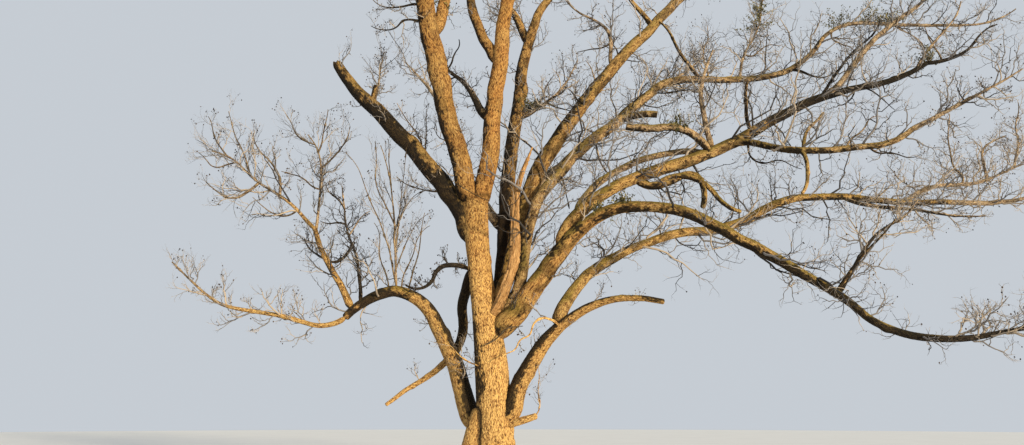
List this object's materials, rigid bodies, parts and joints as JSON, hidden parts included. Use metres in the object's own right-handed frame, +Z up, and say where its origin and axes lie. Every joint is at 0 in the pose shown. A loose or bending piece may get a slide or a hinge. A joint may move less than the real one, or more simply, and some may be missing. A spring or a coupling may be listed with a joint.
{
  "type": "bare oak tree",
  "caption": "Old open-grown oak in winter: short flared trunk, rising leaders, boughs reaching far to one side, a broken limb, an arched low bough and bare masses of twigs.",
  "frame": {"origin": "centre of the flat cut under the trunk, at ground level", "axes": "+Z up, +X towards the long boughs on the right, +Y away from the side that was pictured"},
  "size_m": [24.2573, 15.823, 19.1219],
  "materials": {
    "bark": "deeply furrowed, dry, matt",
    "shaded_bark": "furrowed, darker, matt",
    "torn_wood": "split reddish wood, matt",
    "twig_bark": "fine bark, matt"
  },
  "bodies": {
    "root": {"trunk": "bark", "left_leader": "bark", "left_leader_fork": "bark", "centre_leader": "bark", "centre_leader_fork": "bark", "back_stem": "shaded_bark", "back_stem_fork": "shaded_bark", "steep_right_bough": "bark", "high_right_bough": "bark", "arching_right_bough": "bark", "sweeping_right_bough": "bark", "upper_right_bough": "bark", "upper_right_twin": "bark", "level_right_bough": "bark", "low_right_bough": "bark", "long_right_bough": "bark", "broken_left_limb": "bark", "low_left_bough": "shaded_bark", "arched_left_bough": "shaded_bark", "left_rising_branch": "bark", "drooping_left_limb": "shaded_bark", "low_right_stub": "bark", "torn_spike": "torn_wood", "sawn_right_branch": "bark", "back_right_bough": "bark", "back_left_bough": "bark", "front_left_bough": "bark", "front_right_bough": "bark", "far_left_spray": "twig_bark", "left_fan_outer": "twig_bark", "left_fan_inner": "twig_bark", "left_twisted_spray": "twig_bark", "left_upright_spray": "twig_bark", "dark_left_spray": "twig_bark", "broken_limb_spray": "twig_bark", "left_leader_crown": "twig_bark", "left_fork_crown": "twig_bark", "centre_crown": "twig_bark", "centre_fork_crown": "twig_bark", "back_crown": "twig_bark", "back_fork_crown": "twig_bark", "back_side_spray": "twig_bark", "steep_right_crown": "twig_bark", "steep_side_spray": "twig_bark", "high_right_crown": "twig_bark", "high_right_spray": "twig_bark", "centre_side_spray": "twig_bark", "upper_right_crown": "twig_bark", "upper_right_spray": "twig_bark", "rising_right_spray": "twig_bark", "level_right_spray": "twig_bark", "long_right_crown": "twig_bark", "long_right_riser": "twig_bark", "long_right_under_spray": "twig_bark", "sweeping_right_spray": "twig_bark", "sweeping_right_riser": "twig_bark", "back_right_crown": "twig_bark", "back_left_crown": "twig_bark", "front_left_crown": "twig_bark", "front_right_crown": "twig_bark"}
  },
  "joints": []
}
